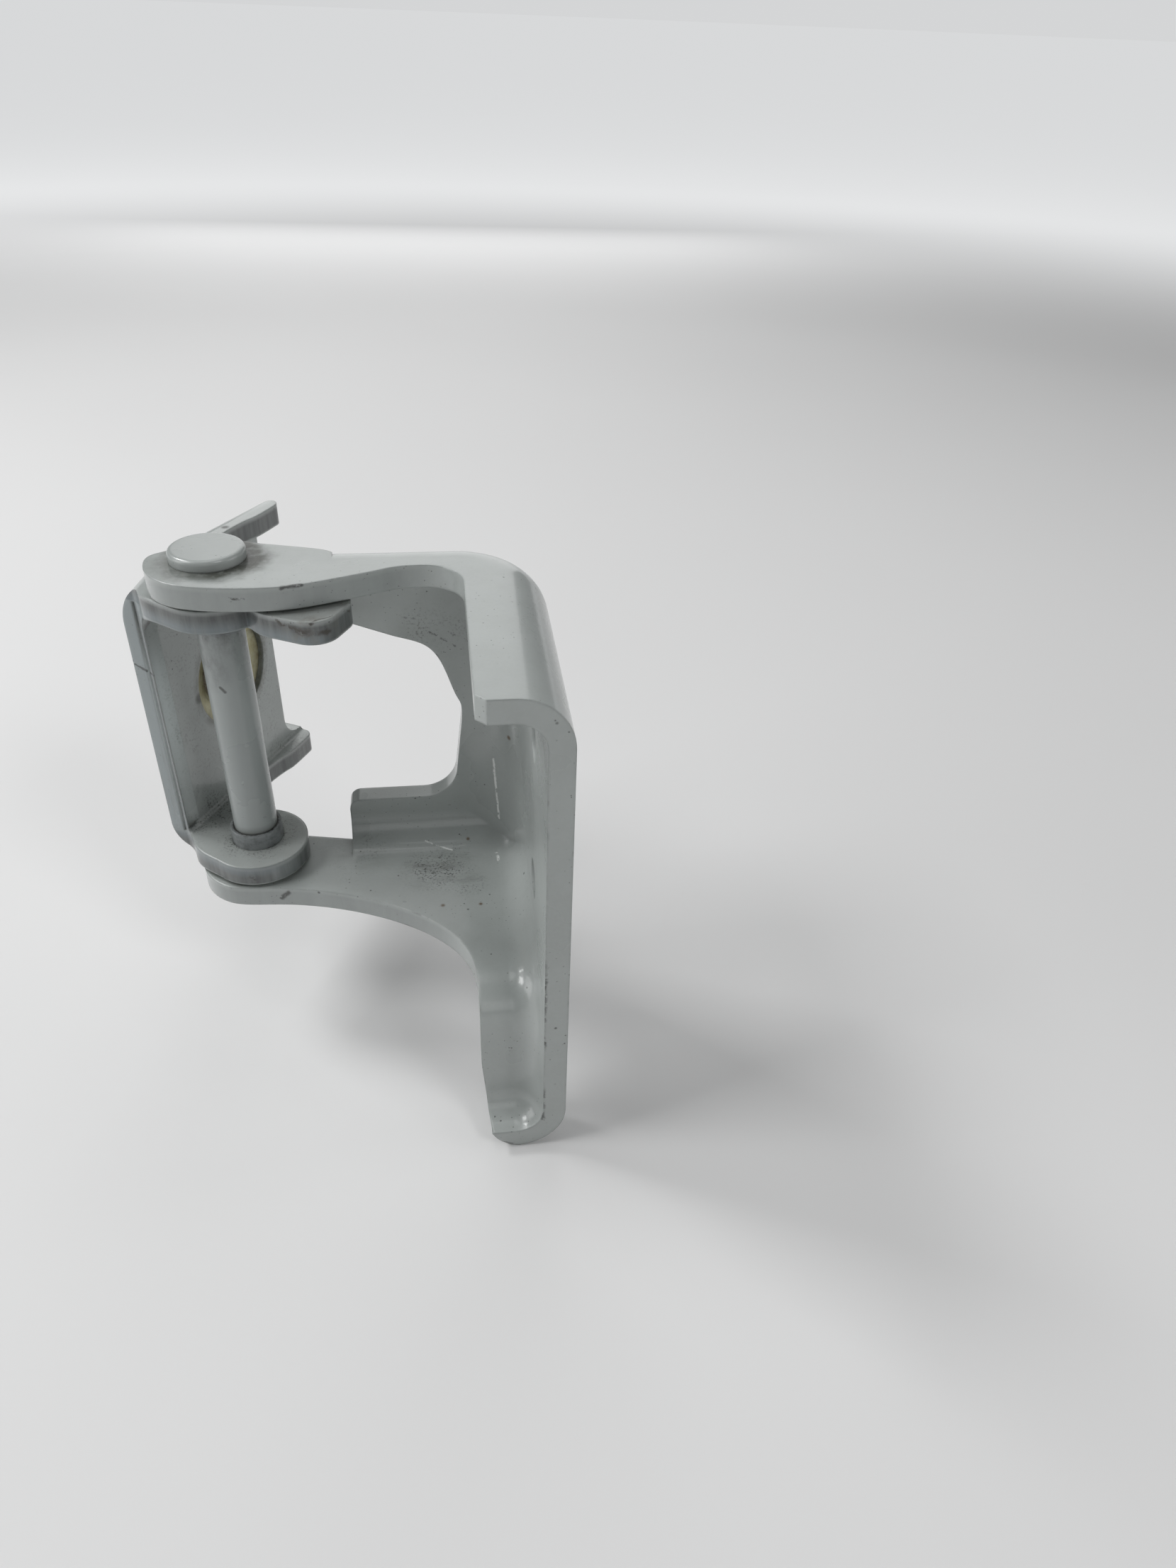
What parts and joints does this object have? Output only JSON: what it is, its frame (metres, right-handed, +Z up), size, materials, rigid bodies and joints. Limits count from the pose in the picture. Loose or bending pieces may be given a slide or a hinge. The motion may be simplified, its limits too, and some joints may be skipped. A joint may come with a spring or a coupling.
{
  "type": "car door hinge",
  "caption": "Stamped steel car door hinge: a drawn body leaf with two arms and a folded door leaf on one headed pin, painted grey.",
  "frame": {"origin": "on the body leaf's mounting face, midway between its two bolt holes", "axes": "+X out of the mounting face towards the car body, +Y towards the back plate, +Z up along the hinge pin"},
  "size_m": [0.0931, 0.1097, 0.1218],
  "materials": {
    "painted_steel": "satin",
    "painted_pin": "satin",
    "bush_metal": "satin",
    "passivated_zinc": "satin",
    "stud_steel": "rough"
  },
  "bodies": {
    "body_side": {"body_leaf": "painted_steel", "hinge_pin": "painted_pin"},
    "door_side": {"door_leaf": "painted_steel", "upper_bush": "bush_metal", "lower_bush": "bush_metal", "stud_ring": "passivated_zinc", "door_stud": "stud_steel"}
  },
  "joints": [
    {"name": "door_swing", "type": "hinge", "parent": "body_side", "child": "door_side", "pos_m": [-0.0688, 0.0332, 0], "axis": [0, 0, 1], "range_deg": [-58, 12]}
  ]
}
